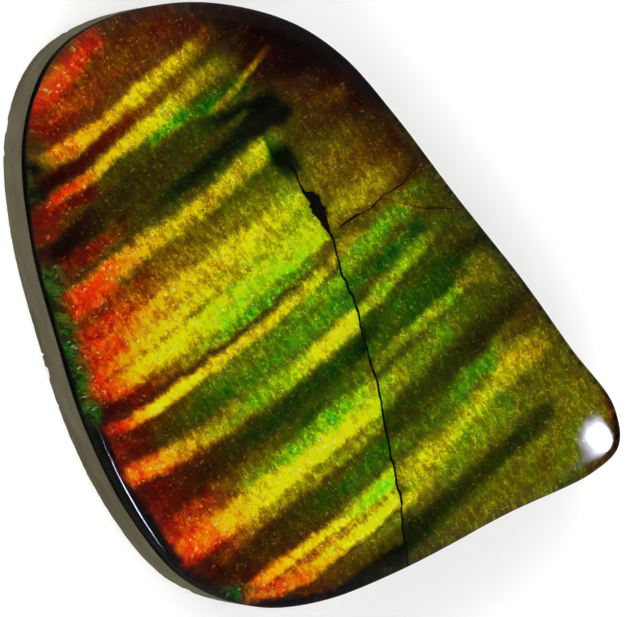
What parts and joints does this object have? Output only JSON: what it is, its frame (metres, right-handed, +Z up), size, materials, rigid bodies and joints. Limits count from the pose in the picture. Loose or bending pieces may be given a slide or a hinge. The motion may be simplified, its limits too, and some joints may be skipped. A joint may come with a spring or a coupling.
{
  "type": "ammolite specimen",
  "caption": "Polished freeform ammolite gem: a grey shale slab carries a ribbed, cracked iridescent shell sheet under a low clear domed cap.",
  "frame": {"origin": "middle of the stone's box, on the flat foot of the shale slab that it rests on", "axes": "+Z up, out of the clear cap; +X along the stone's length, from its broad round end towards its narrow tip"},
  "size_m": [0.0188, 0.0138, 0.0033],
  "materials": {
    "shale": "lapped and lightly polished",
    "ammolite": "iridescent nacreous, red through gold to green",
    "cap": "clear, gem polished"
  },
  "bodies": {
    "root": {"shale_backing": "shale", "ammolite_layer": "ammolite", "clear_cap": "cap"}
  },
  "joints": []
}
